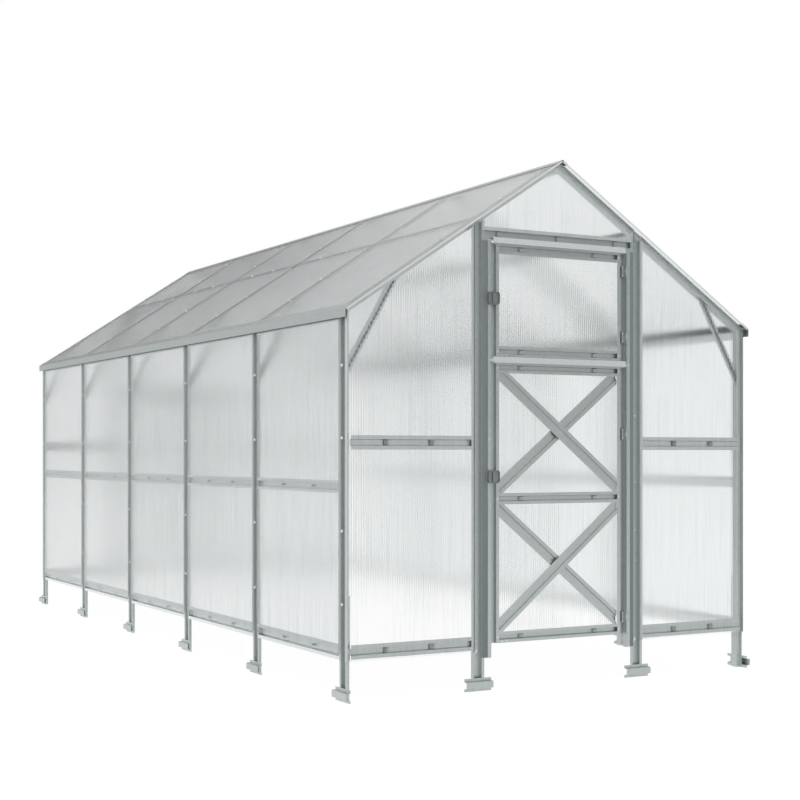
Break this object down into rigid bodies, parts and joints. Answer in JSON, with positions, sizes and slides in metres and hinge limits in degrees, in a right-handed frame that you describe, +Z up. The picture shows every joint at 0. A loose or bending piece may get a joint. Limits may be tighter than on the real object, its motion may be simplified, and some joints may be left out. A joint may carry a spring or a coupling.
{
  "type": "polycarbonate greenhouse",
  "caption": "Gable-roofed greenhouse of galvanised hat profiles clad in clear twin-wall sheets, standing on T-shaped legs, with a braced hinged door under a vent in the gable.",
  "frame": {"origin": "on the ground under the middle of the house", "axes": "+X across the house towards the right wall as seen from the front, +Y along the ridge away from the front gable with the hinged door, +Z up"},
  "size_m": [2.3906, 5.15, 2.5746],
  "materials": {
    "galvanised_steel": "cold-formed strip, hot-dip galvanised, dull grey",
    "galvanised_trim": "folded galvanised sheet, brighter than the profiles",
    "zinc_fittings": "bright zinc-plated hinges and latches",
    "twin_wall_sheet": "extruded clear twin-wall polycarbonate with upright flutes"
  },
  "bodies": {
    "house": {"wall_posts": "galvanised_steel", "door_posts": "galvanised_steel", "legs": "galvanised_steel", "feet": "galvanised_steel", "left_rafters": "galvanised_steel", "right_rafters": "galvanised_steel", "knee_braces": "galvanised_steel", "left_wall_rails": "galvanised_steel", "right_wall_rails": "galvanised_steel", "roof_purlins": "galvanised_steel", "ridge_angles": "galvanised_steel", "gable_rails": "galvanised_steel", "door_headers": "galvanised_steel", "left_wall_sheets": "twin_wall_sheet", "right_wall_sheets": "twin_wall_sheet", "left_roof_sheets": "twin_wall_sheet", "right_roof_sheets": "twin_wall_sheet", "front_gable_sheets": "twin_wall_sheet", "rear_gable_sheets": "twin_wall_sheet", "eave_trims": "galvanised_trim", "ridge_cap": "galvanised_trim", "surround_strips": "galvanised_steel", "door_hinge_pins": "zinc_fittings", "vent_stiles": "galvanised_steel", "vent_rails": "galvanised_steel", "vent_sheet": "twin_wall_sheet", "vent_drip_bar": "galvanised_trim", "vent_latch": "zinc_fittings", "vent_hinges": "zinc_fittings", "rear_stiles": "galvanised_steel", "rear_rails": "galvanised_steel", "rear_outer_braces": "galvanised_steel", "rear_inner_braces": "galvanised_steel", "rear_leaf_sheets": "twin_wall_sheet", "rear_drip_bars": "galvanised_trim", "rear_latches": "zinc_fittings", "rear_hinges": "zinc_fittings"},
    "door": {"door_stiles": "galvanised_steel", "door_rails": "galvanised_steel", "door_outer_braces": "galvanised_steel", "door_inner_braces": "galvanised_steel", "door_sheet": "twin_wall_sheet", "door_drip_bar": "galvanised_trim", "door_latch": "zinc_fittings", "door_hinge_leaves": "zinc_fittings"}
  },
  "joints": [
    {"name": "door_swing", "type": "hinge", "parent": "house", "child": "door", "pos_m": [0.4, -2.5516, 0.77], "axis": [0, 0, 1], "range_deg": [0, 120]}
  ]
}
